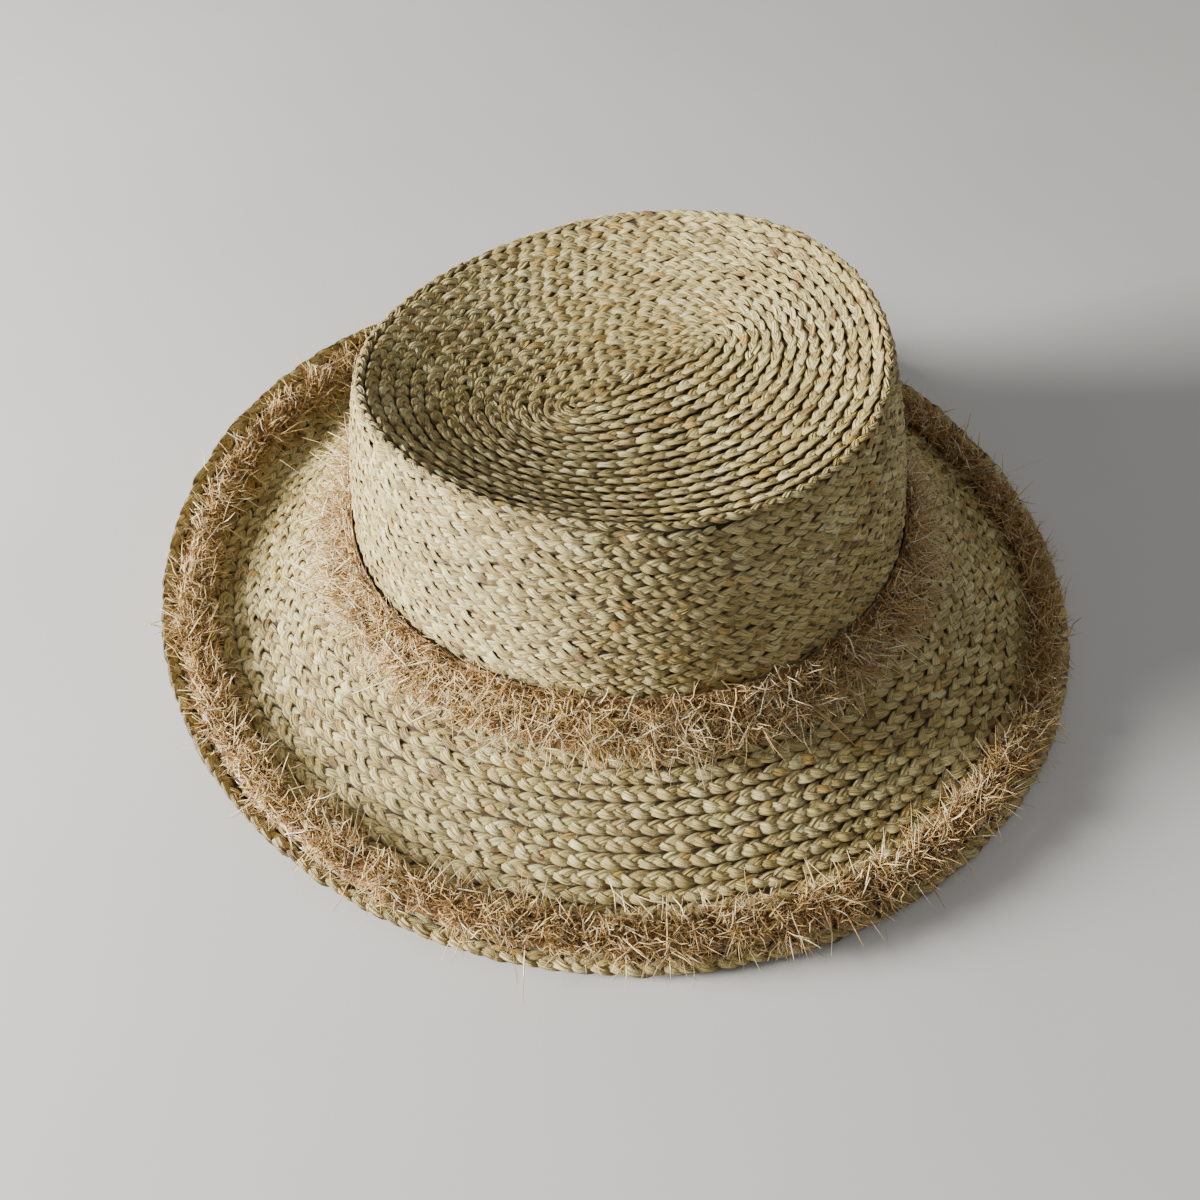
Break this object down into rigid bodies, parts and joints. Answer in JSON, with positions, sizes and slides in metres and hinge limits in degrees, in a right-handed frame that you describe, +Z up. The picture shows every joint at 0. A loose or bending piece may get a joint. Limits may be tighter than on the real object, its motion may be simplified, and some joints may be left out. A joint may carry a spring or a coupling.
{
  "type": "straw sun hat",
  "caption": "Braided straw sun hat with an oval, dished flat crown, a wavy turned-up brim, raffia fringes round the crown and the brim's edge, and a fabric sweatband inside.",
  "frame": {"origin": "on the floor the hat stands on, under the middle of the brim's outline", "axes": "+Z up through the crown; -Y towards the wearer's front, so the head's long axis lies along Y; +X to the right of a viewer who looks along +Y"},
  "size_m": [0.3246, 0.3406, 0.1201],
  "materials": {
    "straw": "natural plaited straw braid, dry and slightly glossy",
    "raffia": "shredded tan raffia fringe",
    "tape": "woven raffia heading tape",
    "band": "ribbed grosgrain ribbon",
    "thread": "cotton sewing thread",
    "label": "blank woven label",
    "wire": "drawn steel millinery wire",
    "joiner": "crimped steel tube"
  },
  "bodies": {
    "root": {"crown_tip": "straw", "crown_rim_row": "straw", "crown_side": "straw", "brim": "straw", "brim_edge_row": "straw", "brim_wire": "wire", "wire_joiner": "joiner", "sweatband": "band", "sweatband_stitches": "thread", "size_label": "label", "label_stitches": "thread", "crown_trim_tape": "tape", "crown_trim_stitches": "thread", "crown_fringe_upper": "raffia", "crown_fringe_lower": "raffia", "brim_trim_tape": "tape", "brim_trim_stitches": "thread", "brim_fringe": "raffia"}
  },
  "joints": []
}
